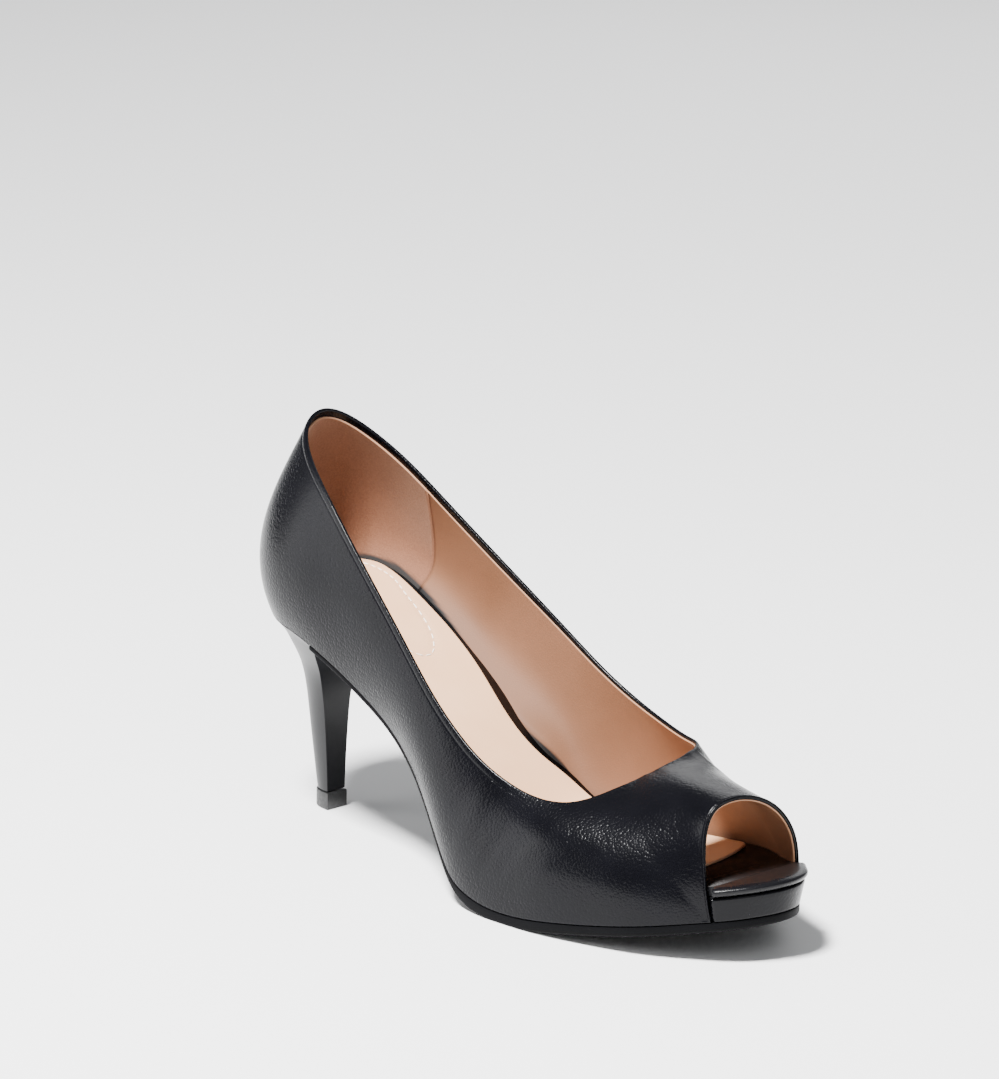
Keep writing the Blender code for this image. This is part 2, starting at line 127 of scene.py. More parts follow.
INNER_SECTIONS = (
    (1.6, 13.5, 10.2, 8.8, 132.4, 16, 6.5),
    (11.5, 23.2, 16.8, 15.8, 126.2, 13.5, 6),
    (25, 26.8, 27.5, 20.3, 118.2, 8.5, 4.5),
    (40, 25.2, 41, 23.6, 108, 6, 3.5),
    (58.8, 22.2, 58.5, 26.9, 95.2, 6, 3.5),
    (80.5, 19.8, 81, 30.4, 79.6, 6, 3.5),
    (94, 20.8, 95, 32.2, 70.1, 6, 4),
    (108, 24.4, 109.5, 33.3, 61.3, 5.5, 4),
    (122, 29.7, 122.5, 33.6, 55.4, 5.5, 5),
    (140, 35.2, 136, 32.3, 51.7, 5.5, 5.5),
    (157, 37.4, 149, 29, 50.4, 5.5, 5),
    (173, 36.4, 157.8, 24.6, 50.9, 6.5, 5),
    (190, 31, 161.6, 19.4, 51, 10, 5.5),
)

# Edge of the peep toe from the outer foot over the arch to the inner foot.
# edge_x, edge_y, edge_z, then the place on the throat and the swell as above
PEEP_SECTIONS = (
    (208, -20, None, 161.3, -8.8, 45.8, 15.5, 12.5),
    (206.8, -20.6, 21, 161.6, -6.8, 46.2, 14, 12),
    (204.6, -19.8, 31, 161.9, -4.9, 46.7, 11, 10.5),
    (202.6, -18, 40, 162.2, -2.9, 47.2, 7.5, 7),
    (202, -14.4, 46.6, 162.4, -0.9, 47.5, 4.5, 4),
    (202.9, -8.5, 49.6, 162.6, 1.5, 48.1, 2, 2.5),
    (204.4, -2, 49.9, 162.5, 4.4, 48.6, 1, 2),
    (206, 4.5, 48, 162.9, 7, 49.3, 1.5, 2.5),
    (207.3, 10.8, 43.6, 163.2, 9.6, 49.9, 3, 2.5),
    (208.2, 16, 36.4, 163.2, 12, 50.4, 5, 3.5),
    (208, 18.9, 28, 162.9, 14.2, 50.8, 8.5, 4.5),
    (207.8, 19.5, 19, 162.5, 16, 51, 11, 5.5),
    (207.6, 19.2, None, 162.1, 17.6, 51, 12, 5.8),
)

# Plan outline of the toe in front of the peep, at the outsole: x, y
TOE_OUTLINE = ((208, -20), (213, -15.4), (217.6, -8.2), (219.9, -0.5), (219.2, 5.6), (216.4, 10.8),
               (212, 15.2), (207.6, 19.2))
TOE_OVERHANG = 2.3

# Inner side of the sock: x, y. Then the gap between the sock and the lining along x
SOCK_INNER = ((0.6, 24.6), (11.1, 21.9), (22.9, 19.4), (32.9, 17.7), (41, 16.9), (49, 16.8),
              (56.8, 16.7), (62.3, 16.2), (68.1, 15.2), (74.1, 13.9), (79.3, 12.7), (84.7, 12),
              (89.4, 12), (94.5, 13.1), (98.5, 15.7), (102.2, 19), (105.8, 23.2), (110.1, 28),
              (116, 31.5))
SOCK_GAP = ((0, 1.7), (25, 2), (45, 2.4), (60, 2), (72, 2.8), (85, 3.8), (95, 3.8),
            (104, 3), (112, 2.2), (130, 1.6))

# Front edge of the sock, which runs back towards the inner side: x, y
SOCK_FRONT = ((160, 60), (173.3, 33.3), (177.6, 25.2), (180, 19.1), (182.5, 11.3), (183.7, 3.1),
              (184.6, -6), (185.5, -16.5), (186, -60))

# Corners, upper edge and mesh of the sock; SOCK_EDGE_SHADE is the width of the painted shade along its edge
SOCK_ROUNDING = 6.5
SOCK_POINTS = 900
SOCK_ACROSS = 70
SOCK_EDGE_ROUND = 0.55
SOCK_EDGE_SHADE = 0.45

# Line of stitches around the heel pad: x and y of its inner side, and the groove that it lies in, with
# painted shade along that groove (PAD_SHADE and its reach)
PAD_LINE = ((8, 15.5), (14, 16.6), (21, 16.4), (28, 15.2), (35, 12.9), (42, 11.4), (48, 9.9), (53, 8.0),
            (57, 5.2), (59.3, 2.2), (59.8, 0.0))
PAD_POINTS = 200
PAD_GROOVE = 0.28
PAD_GROOVE_REACH = 0.8
PAD_SHADE = 0.55
PAD_SHADE_REACH = 0.5

# One stitch, and the run of them
STITCH_PITCH = 3.3
STITCH_LENGTH = 2.5
STITCH_WIDTH = 0.42
STITCH_SUNK = 0.12
STITCH_MARGIN = 1.0
STITCH_AHEAD = 0.5
STITCH_STEPS = 7
STITCH_AROUND = 8
STITCH_BLUNT = 0.6
STITCH_TIP = 0.02

# Where the platform and the footbed step out in front of the feet of the peep: x before and after.
# Their sides follow the wall as far as WALL_END_X, and from there these half widths.
TOE_STEP = (207.6, 208.6)
WALL_END_X = 200.0
FOOT_WIDE_X = 205.0
FOOT_WIDE = 19.2
FOOT_NARROW = 17.9

# Rounded front edge of the footbed; its top in front of FOOTBED_BROWN_X is brown, the rest black
FOOTBED_ROLL = 3.4
FOOTBED_TURNS = 19
FOOTBED_TOP_SHARE = 0.97
FOOTBED_BROWN_X = 150.0

# Side of the platform: shares of its height, cut back at its foot, rounding of its upper edge
PLATFORM_SHARES = (0.0, 0.03, 0.1, 0.25, 0.45, 0.65, 0.8)
PLATFORM_FOOT_CUT = 0.25
PLATFORM_ROUNDING = 0.9
EDGE_TURNS = 7

# Side of the outsole: rounding of its lower edge, shares of the height above it, inset of its upper edge
SOLE_ROUNDING = 0.8
SOLE_SHARES = (0.3, 0.6, 0.85)
SOLE_TOP_INSET = 0.12

# Heel below the seat: z, back_x, breast_x, half_width. Above the last level it blends into the seat.
HEEL_LEVELS = (
    (6.3, 8.6, 16.6, 3.9),
    (14, 7.2, 16.6, 4.2),
    (24, 5.6, 16.6, 4.8),
    (34, 4.2, 16.6, 5.6),
    (43, 3.1, 17, 7.2),
    (50, 2.2, 19, 10.4),
    (56, 1.4, 22.6, 15.4),
    (61.5, 0.4, 27.4, 20.8),
)
HEEL_TOP_X = 34.0
HEEL_SEAT_INSET = 0.2
HEEL_ROWS = 44
HEEL_BLEND_ROWS = 9
HEEL_BLEND_REACH = 0.45

# Heel tip: its outline, then z and inset of each level
TIP_BACK_X = 8.2
TIP_BREAST_X = 17.2
TIP_HALF_WIDTH = 4.3
TIP_LEVELS = ((0.0, 0.35), (0.12, 0.12), (0.35, 0.0), (5.4, 0.0), (5.75, 0.1), (5.9, 0.35))

# Layers of the upper, as depths below its outer face. The heel lining reaches forward to HEEL_LINING_X.
LEATHER = 1.25
LINING_OUT = 1.28
LINING_IN = 1.7
COUNTER_IN = 1.84
HEEL_LINING_X = 36.0

# Folded edge at the topline, with a groove beside the fold. Both fade out between two x at the vamp.
FOLD_WIDTH = 2.7
FOLD_PROUD = 0.12
FOLD_RISE = (0.25, 0.9)
FOLD_GROOVE = 0.12
FOLD_GROOVE_REACH = 0.3
FOLD_FADE_X = (118, 140)

# Folded edge at the peep
PEEP_FOLD_WIDTH = 1.15
PEEP_FOLD_PROUD = 0.1
PEEP_FOLD_RISE = (0.1, 0.4)
PEEP_GROOVE = 0.16
PEEP_GROOVE_REACH = 0.17

# Rows of the leather's mesh, as arc lengths from its foot or its topline; BACK is its inner face
RIM = 0.62
RIM_TURNS = 9
FOOT_TUCK = 0.5
FOOT_TURNS = 5
FOOT_ROWS = (0.5, 0.62, 0.78, 0.9, 1.0, 1.1, 1.2, 1.3, 1.45, 1.7, 2.1)
TOP_ROWS = (3.9, 3.5, 3.2, 2.95, 2.8, 2.65, 2.5, 2.35, 2.1, 1.7, 1.3, 0.95)
MID_ROWS = 46
BACK_TOP_ROWS = (1.0, 2.0, 3.2, 4.4, 5.6)
BACK_ENDS = (0.62, 7.0)
BACK_ROWS = 14
ARC_SAMPLES = 81

# Soft troughs (negative) and ridges where the vamp bends, on its outer side:
# x and z of the middle, reach along and across, height, angle
CREASES = (
    (132, 22, 13, 3.2, -0.22, 62),
    (139, 21, 14, 3.6, -0.20, 55),
    (147, 20, 13, 3.4, -0.16, 48),
    (120, 28, 14, 4.5, 0.20, 70),
)
CREASE_SIDE = (-5, 12)
CREASE_DEPTH_SHARE = 0.4

# Edges of the lining: how far they stay from the topline along x, from the foot and from the peep
FACING = ((0, 2.5), (15, 2.9), (40, 3.0), (65, 2.6), (90, 1.8), (130, 0.9), (160, 0.7))
LINING_FOOT = 0.9
PEEP_FACING = 0.45
LINING_ROUND = 0.22
LINING_TURNS = 5

# Pale rim of the lining: distance from the edge and strength of the rim's colour, at the top and the foot
TOP_RIM = ((0.3, 0.6), (0.6, 0.0))
FOOT_RIM = ((0.6, 0.0), (0.4, 0.9))
RIM_END = 0.6
LINING_INNER_ROWS = 64
LINING_OUTER_ROWS = 14
INNER_FACE_SHARE = 0.9

# The lining's foot is led in towards the sock: how far up, how fast it fades, where it ends along x
LINING_SWEEP = 4.5
LINING_SWEEP_POWER = 1.3
LINING_SWEEP_END = 165.0
LINING_SWEEP_FADE = 20
LINING_SWEEP_EVEN = 5

# Height above the footbed up to which the lining's foot is dark, along x, and the softness of that edge
LINING_DARK = ((0, 2), (36, 1.6), (55, 0.3), (70, -1), (165, -1))
LINING_DARK_EDGE = (0.4, 0.3)

# Looks: colour of the black leather, of the lining's dark foot, and the part of a noise that is used
LEATHER_TONE = (0.0014, 0.0014, 0.0022)
FOOT_TONE = (0.004, 0.0035, 0.0035)
NOISE_MIDDLE = (0.3, 0.7)

# Places of the colours among the sockets of a mix node
MIX_FIRST, MIX_SECOND, MIX_RESULT = 6, 7, 2

# Camera in the source's millimetres, its roll in degrees and its lens
CAMERA_AT = (1446.01, -1327.60, 630.77)
CAMERA_TO = (88.46, 3.34, 106.63)
CAMERA_ROLL = 0.994
CAMERA_LENS = 206.1
CAMERA_SENSOR = 36.0
CAMERA_CLIP_END = 50.0

# Soft boxes in metres: place, what they look at, width, height, power
LIGHTS = (
    ("key", (0.07, -0.65, 1.5), (0.05, 0.0, 0.04), 0.3, 0.3, 128.0),
    ("side", (-1.35, -1.35, 0.45), (-0.05, 0.0, 0.06), 1.2, 1.0, 20.0),
    ("fill", (1.3, -0.6, 1.2), (0.05, 0.0, 0.05), 0.8, 0.8, 4.0),
    ("back", (-0.9, 1.3, 0.7), (0.0, 0.0, 0.08), 0.9, 0.8, 5.0),
)
WORLD_TONE = (0.95, 0.97, 1.0, 1.0)
WORLD_STRENGTH = 0.3
FLOOR_REACH = 6.0
FLOOR_TONE = (0.93, 0.93, 0.93)
FLOOR_ROUGH = 0.75

# What the columns around the upper are made of: for each its foot, its top and two points that swell it,
# how many of them stand on the seat line, and the foot with the corners of its line rounded off
Columns = namedtuple("Columns", "foot top first second seat_count soft")


def spline(knots, rows, at, closed=False):
    """Cubic spline with continuous curvature through rows, natural or closed at its ends."""
    knots = np.asarray(knots, float)
    rows = np.asarray(rows, float)
    flat = rows.ndim == 1
    if flat:
        rows = rows[:, None]
    count = len(knots)
    step = np.diff(knots)
    matrix = np.zeros((count, count))
    right = np.zeros((count, rows.shape[1]))
    slope = np.diff(rows, axis=0) / step[:, None]
    for i in range(1, count - 1):
        matrix[i, i - 1:i + 2] = step[i - 1], 2 * (step[i - 1] + step[i]), step[i]
        right[i] = 6 * (slope[i] - slope[i - 1])
    matrix[0, 0] = matrix[-1, -1] = 1
    if closed:
        matrix[0, :2] = 2 * (step[0] + step[-1]), step[0]
        matrix[0, -2] = step[-1]
        right[0] = 6 * (slope[0] - slope[-1])
        matrix[-1, 0] = -1
    bend = np.linalg.solve(matrix, right)
    at = np.asarray(at, float)
    i = np.clip(np.searchsorted(knots, at) - 1, 0, count - 2)
    a = ((knots[i + 1] - at) / step[i])[..., None]
    b = 1 - a
    width = (step[i] ** 2)[..., None]
    value = a * rows[i] + b * rows[i + 1] + ((a**3 - a) * bend[i] + (b**3 - b) * bend[i + 1]) * width / 6
    return value[..., 0] if flat else value


def seat_z(x):
    return spline(*np.transpose(SEAT_LINE), x)


def sole_z(x):
    """Underside of the outsole, levelled where it stands on the floor."""
    return np.maximum(0.0, spline(*np.transpose(SOLE_LINE), x))


def platform_thick(x):
    return spline(*np.transpose(PLATFORM_THICK), x)


def chord_knots(points):
    return np.concatenate([[0.0], np.cumsum(np.linalg.norm(np.diff(points, axis=0), axis=1))])


def points_at(at, run, line):
    """Points of a line at places along its run."""
    return np.stack([np.interp(at, run, line[:, axis]) for axis in range(line.shape[1])], -1)


def unit(vectors):
    return vectors / np.maximum(np.linalg.norm(vectors, axis=-1, keepdims=True), 1e-9)


def upper_columns():
    """The columns around the upper: along the seat line by way of the heel, then along the peep's edge."""
    seat_rows = [(x, y, float(seat_z(x)), *rest) for x, y, *rest in
                 (*reversed(INNER_SECTIONS), BACK_SECTION, *OUTER_SECTIONS)]
    peep_rows = [(x, y, float(seat_z(x)) if z is None else z, *rest) for x, y, z, *rest in PEEP_SECTIONS]
    ring = np.array([peep_rows[-1], *seat_rows, *peep_rows])
    corner = len(seat_rows) + 1
    middle = (ring[:, :3] + 2 * ring[:, 3:6]) / 3
    knots = chord_knots(middle)
    seat_at = even_columns(ring[:corner + 1, :3], knots[:corner + 1], SEAT_COLUMNS)
    peep_at = even_columns(ring[corner:, :3], knots[corner:], PEEP_COLUMNS)
    foot = np.vstack([spline(knots[:corner + 1], ring[:corner + 1, :3], seat_at),
                      spline(knots[corner:], ring[corner:, :3], peep_at[1:-1])])
    foot[:len(seat_at), 2] = seat_z(foot[:len(seat_at), 0])
    at = np.concatenate([seat_at, peep_at[1:-1]])
    rest = spline(knots, ring[:, 3:], at, closed=True)
    soft = soften_corners(foot, at, (knots[0], knots[corner], knots[-1]))
    top = rest[:, :3]
    first, second = swell_points(soft, top, rest[:, 3], rest[:, 4])
    vamp = smooth_step(top[:, 0], *VAMP_RANGE)
    first = even_out(first, at, knots[-1], vamp)
    second = even_out(second, at, knots[-1], vamp)
    for corner_at, normal in ((knots[corner], OUTER_CORNER_NORMAL), (knots[0], INNER_CORNER_NORMAL)):
        turned = unit(np.array(normal))
        near = np.abs((at - corner_at + knots[-1] / 2) % knots[-1] - knots[-1] / 2)
        index = int(np.argmin(near))
        short = float((soft[index] - first[index]) @ turned)
        first = first + turned * short * bump_at(near, 0.0, CORNER_REACH)[:, None]
    return Columns(foot, top, first, second, len(seat_at), soft)


def bump_at(value, centre, reach):
    return np.exp(-((value - centre) / reach) ** 2)


def window_mean(line, at, length, offsets, weights):
    """A closed line averaged over weighted offsets along its run."""
    known = np.concatenate([at - length, at, at + length])
    tiled = np.tile(line, (3, 1))
    mean = np.zeros_like(line)
    for offset, weight in zip(offsets, weights / weights.sum()):
        mean += weight * points_at(at + offset, known, tiled)
    return mean


def even_out(line, at, length, share):
    """A closed line averaged over a window of the run, where its share is not 0."""
    offsets = np.linspace(-1, 1, SOFT_SAMPLES)
    weights = (1 + np.cos(offsets * math.pi)) / 2
    mean = window_mean(line, at, length, offsets * VAMP_WINDOW, weights)
    return line + (mean - line) * share[:, None]


def swell_points(soft, top, low, high):
    """Inner control points of the columns, pushed out from the line inside the foot."""
    chord = top - soft
    middle = (top + soft) / 2
    core_x, core_z = np.transpose(CORE_LINE)
    core = np.zeros_like(middle)
    core[:, 0] = np.clip(middle[:, 0], core_x[0], core_x[-1])
    core[:, 2] = np.interp(middle[:, 0], core_x, core_z)
    along = unit(chord)
    out = middle - core
    out = unit(out - along * np.sum(out * along, axis=1)[:, None])
    return soft + chord / 3 + out * low[:, None], soft + chord * 2 / 3 + out * high[:, None]


def smooth_step(value, low, high):
    t = np.clip((value - low) / (high - low), 0, 1)
    return t * t * (3 - 2 * t)


def soften_corners(foot, at, corners):
    """The foot line with its corners rounded off, for the swell of the columns near them."""
    offsets = np.linspace(-1, 1, SOFT_SAMPLES)
    mean = window_mean(foot, at, corners[-1] - corners[0], offsets * SOFT_WINDOW, 1 - np.abs(offsets))
    near = np.min([np.abs(at - corner) for corner in corners], axis=0)
    share = np.cos(np.clip(near / SOFT_REACH, 0, 1) * math.pi / 2) ** 2
    return foot + (mean - foot) * share[:, None]


def even_columns(points, knots, count):
    """Knot values that space the columns evenly along a dense run through the points."""
    dense = np.linspace(knots[0], knots[-1], DENSE_POINTS)
    run = chord_knots(spline(knots, points, dense))
    return np.interp(np.linspace(0, run[-1], count), run, dense)


def column_points(columns, steps):
    """One point of the outer face on each column, each at its own share of the way up."""
    t = np.broadcast_to(steps, len(columns.foot))[:, None]
    low = (1 - t)**3 * columns.soft + 3 * (1 - t)**2 * t * columns.first
    curve = low + 3 * (1 - t) * t * t * columns.second + t**3 * columns.top
    return curve + (columns.foot - columns.soft) * (1 - t)**CORNER_FADE


def wall_ring(columns, steps, depth):
    """A ring of the wall at a depth below its outer face."""
    last = columns.seat_count - 1
    here = column_points(columns, steps)
    below = column_points(columns, np.clip(np.subtract(steps, SLOPE_STEP), 0, 1))
    above = column_points(columns, np.clip(np.add(steps, SLOPE_STEP), 0, 1))
    around = np.roll(here, -1, axis=0) - np.roll(here, 1, axis=0)
    around[0] = here[1] - here[0]
    around[last] = here[last] - here[last - 1]
    return here - unit(np.cross(around, above - below)) * depth


def offset_run(run, inset):
    """A run of plan points moved inward; it goes from the inner side round the heel to the outer side."""
    tangent = unit(np.gradient(run, axis=0))
    inward = np.stack([-tangent[:, 1], tangent[:, 0]], 1)
    return run + inward * inset


def toe_run():
    """Plan outline of the sole in front of the peep, from the outer to the inner side."""
    outline = np.array(TOE_OUTLINE)
    knots = chord_knots(outline)
    return spline(knots, outline, np.linspace(0, knots[-1], TOE_POINTS))


def wall_run(columns, height, depth):
    """Plan line inside the wall, over the columns on the seat, at a height above the seat line."""
    shares = np.linspace(0, LOW_WALL_SHARE, LOW_WALL_STEPS)
    lines = np.array([wall_ring(columns, t, depth) for t in shares])[:, :columns.seat_count]
    above = lines[..., 2] - seat_z(lines[..., 0]) - height(lines[..., 0])
    return np.array([points_at(0.0, above[:, i], lines[:, i, :2]) for i in range(columns.seat_count)])


def layer_level(columns, height, toe_out):
    """Sides and z of a layer that lies inside the upper and steps out past the feet of the peep."""
    inside = wall_run(columns, height, WALL + WALL_CLEARANCE)
    inside = inside[inside[:, 0] < WALL_END_X]
    outside = offset_run(toe_run(), -toe_out)
    inner_end = [(TOE_STEP[0], FOOT_NARROW), (FOOT_WIDE_X, FOOT_WIDE)]
    outer_end = [(FOOT_WIDE_X, -FOOT_WIDE), (TOE_STEP[0], -FOOT_NARROW)]
    loop = np.vstack([inner_end, inside, outer_end, outside[outside[:, 0] > TOE_STEP[1]]])
    x, outer, inner = sides(loop, exact=TOE_STEP)
    return x, outer, inner, seat_z(x) + height(x)


def sides(loop, start=None, exact=()):
    """Stations x, closer together at the ends, with the outer and inner y of a closed plan loop.

    The station nearest to each exact value is moved onto it.
    """
    loop = np.roll(loop, -int(np.argmin(loop[:, 0])), axis=0)
    front = int(np.argmax(loop[:, 0]))
    outer = loop[:front + 1]
    inner = np.vstack([loop[front:], loop[:1]])[::-1]
    first = outer[0, 0] + TIP_CUT if start is None else start
    last = outer[-1, 0] - TIP_CUT
    share = (1 - np.cos(np.linspace(0, math.pi, PLAN_STATIONS))) / 2
    x = first + (last - first) * share
    for value in exact:
        x[np.argmin(np.abs(x - value))] = value
    return x, np.interp(x, outer[:, 0], outer[:, 1]), np.interp(x, inner[:, 0], inner[:, 1])


def footbed_height(x, share):
    """Height above the seat line in the footbed, from its underside at 0 to its top at 1."""
    return platform_thick(x) + GAP + FOOTBED_THICK * share


def sock_loop(columns):
    """Plan loop of the sock: inside the wall at the sides and along its own front edge."""
    inside = wall_run(columns, lambda x: footbed_height(x, 1.0), WALL + SOCK_INSET)
    waist_x, waist_y = np.transpose(SOCK_INNER)
    waist = np.interp(inside[:, 0], waist_x, waist_y, left=math.inf, right=math.inf)
    inside[:, 1] = np.minimum(inside[:, 1], waist)
    front = np.array(SOCK_FRONT)
    kept = inside[inside[:, 1] < np.interp(inside[:, 0], front[:, 0], front[:, 1])]
    return round_loop(np.vstack([kept, front[-2:0:-1]]), SOCK_ROUNDING)


def round_loop(loop, window):
    """A closed plan loop with its corners rounded off over a window of its length."""
    closed = np.vstack([loop, loop[:1]])
    run = chord_knots(closed)
    at = np.linspace(0, run[-1], SOCK_POINTS, endpoint=False)
    mean = np.zeros((len(at), 2))
    offsets = np.linspace(-window, window, SOFT_SAMPLES)
    for offset in offsets:
        mean += points_at((at + offset) % run[-1], run, closed)
    return mean / len(offsets)


def heel_ring(z, back, breast, half_width):
    """Level ring of the heel: a flat breast and a rounded back."""
    angle = np.linspace(-math.pi / 2, math.pi / 2, HEEL_POINTS)
    x = breast - (breast - back) * np.cos(angle)
    return np.stack([x, half_width * np.sin(angle), np.full(HEEL_POINTS, z)], 1)


def heel_seat_ring(columns):
    """Top ring of the heel, under the seat line and cut off at the breast."""
    feather = columns.foot[:columns.seat_count, :2]
    x, outer, inner = sides(offset_run(feather, HEEL_SEAT_INSET))
    dense = np.linspace(x[0], HEEL_TOP_X, DENSE_POINTS)
    run = np.vstack([np.stack([dense, np.interp(dense, x, outer)], 1)[::-1],
                     np.stack([dense, np.interp(dense, x, inner)], 1)])
    length = chord_knots(run)
    at = np.linspace(0, length[-1], HEEL_POINTS)
    plan = points_at(at, length, run)
    return np.column_stack([plan, seat_z(plan[:, 0]) - GAP / 2])


def capped_stack(rings):
    """Rings joined in order, the first and the last closed by strips between a ring's two halves."""
    count = len(rings[0])
    faces = ring_faces(len(rings), count, False)
    for base in (0, (len(rings) - 1) * count):
        for i in range((count - 1) // 2):
            strip = [base + i, base + i + 1, base + count - 2 - i, base + count - 1 - i]
            faces.append(tuple(dict.fromkeys(strip)))
    return np.vstack(rings), faces


def arc_table(columns):
    """Shares up the columns and the arc length at each, for every column."""
    shares = np.linspace(0, 1, ARC_SAMPLES)
    lines = np.array([column_points(columns, t) for t in shares])
    steps = np.linalg.norm(np.diff(lines, axis=0), axis=2)
    return shares, np.vstack([np.zeros(len(columns.foot)), np.cumsum(steps, axis=0)])


def shares_at(table, arcs):
    shares, lengths = table
    return np.array([np.interp(arcs[i], lengths[:, i], shares) for i in range(len(arcs))])


def fold_depth(from_foot, from_top, peep, quarter):
    """Depth of the outer face near its edges: the leather is folded over, with a groove beside the fold."""
    top = FOLD_GROOVE * bump_at(from_top, FOLD_WIDTH, FOLD_GROOVE_REACH)
    top = top - FOLD_PROUD * smooth_step(FOLD_WIDTH - from_top, *FOLD_RISE)
    toe = PEEP_GROOVE * bump_at(from_foot, PEEP_FOLD_WIDTH, PEEP_GROOVE_REACH)
    toe = toe - PEEP_FOLD_PROUD * smooth_step(PEEP_FOLD_WIDTH - from_foot, *PEEP_FOLD_RISE)
    return quarter * top + peep * toe


def crease_depth(points):
    """Depth of the soft creases at points of the outer face."""
    depth = np.zeros(len(points))
    side = smooth_step(-points[:, 1], *CREASE_SIDE)
    for x, z, long_reach, short_reach, height, angle in CREASES:
        turn = math.radians(angle)
        ahead = points[:, 0] - x
        above = points[:, 2] - z
        along = ahead * math.cos(turn) + above * math.sin(turn)
        across = above * math.cos(turn) - ahead * math.sin(turn)
        depth -= side * height * np.exp(-(along / long_reach) ** 2 - (across / short_reach) ** 2)
    return depth


def outer_rows(total):
    """Arc lengths of the outer face's rows from foot to top, one array of columns for each row."""
    rows = [np.full(len(total), float(value)) for value in FOOT_ROWS]
    low = FOOT_ROWS[-1]
    high = total - TOP_ROWS[0]
    rows += [low + (high - low) * share for share in np.linspace(0, 1, MID_ROWS + 2)[1:-1]]
    rows += [total - value for value in TOP_ROWS]
    return rows


def leather_rings(columns, table, peep):
    """Rings of the leather: out of the foot's edge, up the outer face, over the rim and down inside."""
    total = table[1][-1]
    rings = []
    half = LEATHER / 2
    quarter = 1 - smooth_step(columns.top[:, 0], *FOLD_FADE_X)
    for turn in np.linspace(0, math.pi / 2, FOOT_TURNS)[:-1]:
        arc = np.full(len(total), FOOT_TUCK * (1 - math.sin(turn)))
        rings.append((arc, half * math.cos(turn) + fold_depth(arc, total - arc, peep, quarter)))
    for arc in outer_rows(total):
        rings.append((arc, fold_depth(arc, total - arc, peep, quarter)))
    for turn in np.linspace(0, math.pi, RIM_TURNS):
        arc = total - RIM * (1 - math.sin(turn))
        depth = half - half * math.cos(turn) - quarter * FOLD_PROUD * (1 + math.cos(turn)) / 2
        rings.append((arc, depth))
    low, high = BACK_ENDS
    back = [total - value for value in BACK_TOP_ROWS]
    back += [low + (total - high - low) * share for share in np.linspace(1, 0, BACK_ROWS)]
    rings += [(arc, np.full(len(total), LEATHER)) for arc in back]
    for turn in np.linspace(math.pi, math.pi / 2, FOOT_TURNS)[1:-1]:
        arc = np.full(len(total), FOOT_TUCK * (1 - math.sin(turn)))
        rings.append((arc, np.full(len(total), half - half * math.cos(turn))))
    made = []
    for arc, depth in rings:
        share = shares_at(table, arc)
        creases = crease_depth(column_points(columns, share))
        depth = depth + np.where(depth < LEATHER * CREASE_DEPTH_SHARE, creases, 0.0)
        made.append(wall_ring(columns, share, depth[:, None]))
    return made


def shift_to_frame():
    """Where the source's own origin lies in the frame, found from the heel tip."""
    low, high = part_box("heel_tip")
    return np.array([low.x / MM - TIP_BACK_X, (low.y + high.y) / 2 / MM, 0.0])


SHIFT = shift_to_frame()


def new_object(name, data):
    made = bpy.data.objects.new(name, data)
    bpy.context.scene.collection.objects.link(made)
    return made


def piece(name, points, faces, look, replaced=(), sharp=None):
    """A closed mesh that rides on the frame, with outward normals and smooth shading."""
    mesh = bpy.data.meshes.new(name)
    placed = (np.asarray(points, float) + SHIFT) * MM
    mesh.from_pydata(placed.tolist(), [], faces)
    work = bmesh.new()
    work.from_mesh(mesh)
    bmesh.ops.recalc_face_normals(work, faces=work.faces)
    work.to_mesh(mesh)
    work.free()
    mesh.polygons.foreach_set("use_smooth", [True] * len(mesh.polygons))
    if sharp is not None:
        mesh.set_sharp_from_angle(angle=math.radians(sharp))
    mesh.materials.append(look)
    made = new_object(name, mesh)
    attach(made, "root")
    if replaced:
        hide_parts(*replaced)
    return made


def ring_faces(rows, count, wrap_rows, wrap_count=True):
    """Quads between rows of equal count. A wrapped direction joins its last points to its first."""
    faces = []
    for row in range(rows if wrap_rows else rows - 1):
        after = (row + 1) % rows
        for i in range(count if wrap_count else count - 1):
            j = (i + 1) % count
            faces.append((row * count + i, row * count + j, after * count + j, after * count + i))
    return faces


def mark(item, name, values):
    """A number for each vertex, for the material to read."""
    layer = item.data.attributes.new(name, "FLOAT", "POINT")
    layer.data.foreach_set("value", np.asarray(values, float))


# Materials

